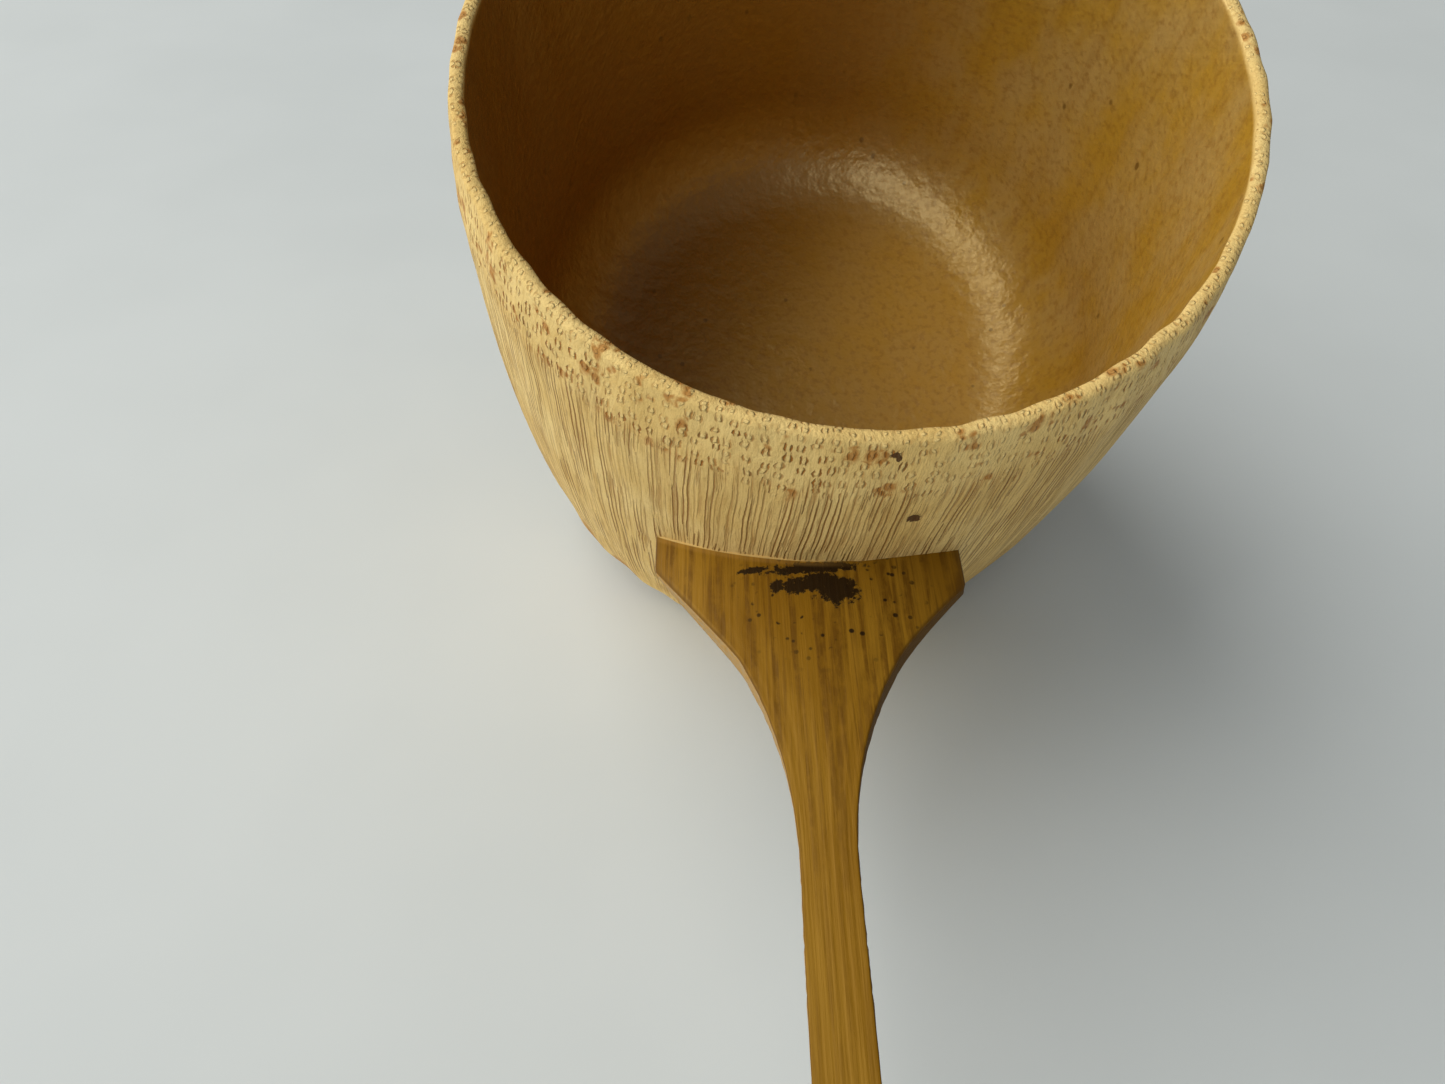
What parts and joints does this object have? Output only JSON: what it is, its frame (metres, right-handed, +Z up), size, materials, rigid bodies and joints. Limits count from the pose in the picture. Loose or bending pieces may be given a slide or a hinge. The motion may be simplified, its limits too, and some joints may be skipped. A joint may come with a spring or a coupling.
{
  "type": "bamboo water ladle",
  "caption": "Ladle with a straight-sided bamboo cup and a long slender strip handle whose flared head is let into a slot in the cup's wall, for dipping and pouring water.",
  "frame": {"origin": "centre of the footprint on the surface that the ladle rests on, in its resting pose", "axes": "+Z up from the resting surface; the handle runs towards -Y and the cup is at the +Y end; X is across"},
  "size_m": [0.0606, 0.3648, 0.0669],
  "materials": {
    "cup": "matte, shaved bamboo",
    "handle": "satin, aged bamboo skin"
  },
  "bodies": {
    "root": {"cup": "cup", "handle": "handle"}
  },
  "joints": []
}
